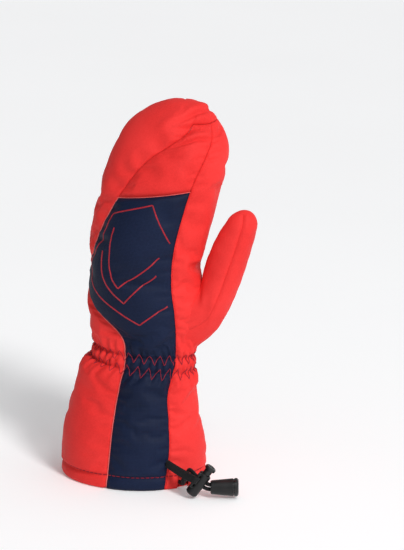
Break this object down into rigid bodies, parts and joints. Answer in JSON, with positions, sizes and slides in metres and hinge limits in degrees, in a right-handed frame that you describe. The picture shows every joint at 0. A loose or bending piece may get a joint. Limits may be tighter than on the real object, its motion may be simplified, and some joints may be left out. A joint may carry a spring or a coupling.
{
  "type": "ski mitten",
  "caption": "Insulated ski mitten standing on its cuff, with a padded thumb, gathered wrist, drawcord hem with cord lock, and a hanging pair clip.",
  "frame": {"origin": "middle of the cuff's mouth, in the plane of the hem that the mitten stands on", "axes": "+Z from the cuff to the fingertips, +X to the thumb side, -Y out of the back of the hand, +Y out of the palm"},
  "size_m": [0.1208, 0.076, 0.233],
  "materials": {
    "red_fabric": "matt woven nylon",
    "navy_fabric": "matt woven nylon, ribstop",
    "palm_fabric": "fine-grained grip fabric",
    "membrane": "smooth film",
    "wadding": "fluffy polyester wadding",
    "lining": "brushed tricot",
    "elastic": "woven elastic",
    "thread": "sewing thread",
    "print_ink": "raised rubbery print",
    "webbing": "woven nylon webbing",
    "cord": "braided elastic cord",
    "black_plastic": "satin moulded plastic",
    "gloss_plastic": "polished moulded plastic",
    "spring_steel": "bright wire"
  },
  "bodies": {
    "hand": {"back_panel": "navy_fabric", "upper_back_panel": "red_fabric", "ulnar_side_panel": "red_fabric", "radial_side_panel": "red_fabric", "palm_panel": "palm_fabric", "palm_cuff_panel": "red_fabric", "hem_facing": "red_fabric", "thumb_gusset": "red_fabric", "gusset_lining": "lining", "waterproof_insert": "membrane", "hand_insulation": "wadding", "hand_lining": "lining", "cuff_lining": "lining", "wrist_elastic_lower": "elastic", "wrist_elastic_upper": "elastic", "wrist_stitching": "thread", "hem_stitching": "thread", "back_print": "print_ink", "side_label": "webbing", "drawcord_loop": "cord"},
    "thumb": {"thumb_back_panel": "red_fabric", "thumb_palm_panel": "red_fabric", "thumb_insulation": "wadding", "thumb_lining": "lining"},
    "lock": {"drawcord_tail_a": "cord", "drawcord_tail_b": "cord", "lock_webbing": "webbing", "cord_lock_barrel": "black_plastic", "cord_lock_spring": "spring_steel"},
    "lock_button": {"cord_lock_button": "gloss_plastic"},
    "cord_end": {"cord_end_bell": "black_plastic", "cord_end_cap": "gloss_plastic", "cord_knot": "cord"},
    "clip": {"clip_webbing": "webbing", "clip_plug": "black_plastic"},
    "prong_a": {"clip_prong_a": "black_plastic"},
    "prong_b": {"clip_prong_b": "black_plastic"}
  },
  "joints": [
    {"name": "thumb_spread", "type": "hinge", "parent": "hand", "child": "thumb", "pos_m": [0.044, 0.004, 0.126], "axis": [0, 1, 0], "range_deg": [0, 25], "stiffness_Nm_per_rad": 0.3, "springref_deg": -2.86, "deforming": ["thumb_gusset", "gusset_lining"]},
    {"name": "lock_swing", "type": "hinge", "parent": "hand", "child": "lock", "pos_m": [0.0365, -0.0196, 0.004], "axis": [0, 0, 1], "range_deg": [-30, 20], "stiffness_Nm_per_rad": 0.01, "deforming": ["lock_webbing", "drawcord_tail_a", "drawcord_tail_b"]},
    {"name": "button_press", "type": "slide", "parent": "lock", "child": "lock_button", "axis": [-0.5813, -0.1558, -0.7986], "range_m": [0, 0.003], "stiffness_N_per_m": 800, "springref_m": -0.002, "deforming": ["cord_lock_spring"]},
    {"name": "cord_pull", "type": "slide", "parent": "lock", "child": "cord_end", "axis": [0.9659, 0.2588, 0], "range_m": [0, 0.025]},
    {"name": "clip_swing", "type": "hinge", "parent": "hand", "child": "clip", "pos_m": [0.0243, 0.0221, 0.06], "axis": [0.891, -0.454, 0], "range_deg": [0, 110]},
    {"name": "prong_a_squeeze", "type": "hinge", "parent": "clip", "child": "prong_a", "pos_m": [0.02121, 0.02661, 0.04513], "axis": [-0.4471, -0.8775, -0.1736], "range_deg": [0, 8], "stiffness_Nm_per_rad": 0.05},
    {"name": "prong_b_squeeze", "type": "hinge", "parent": "clip", "child": "prong_b", "pos_m": [0.02977, 0.02226, 0.04513], "axis": [0.4471, 0.8775, 0.1736], "range_deg": [0, 8], "stiffness_Nm_per_rad": 0.05}
  ]
}
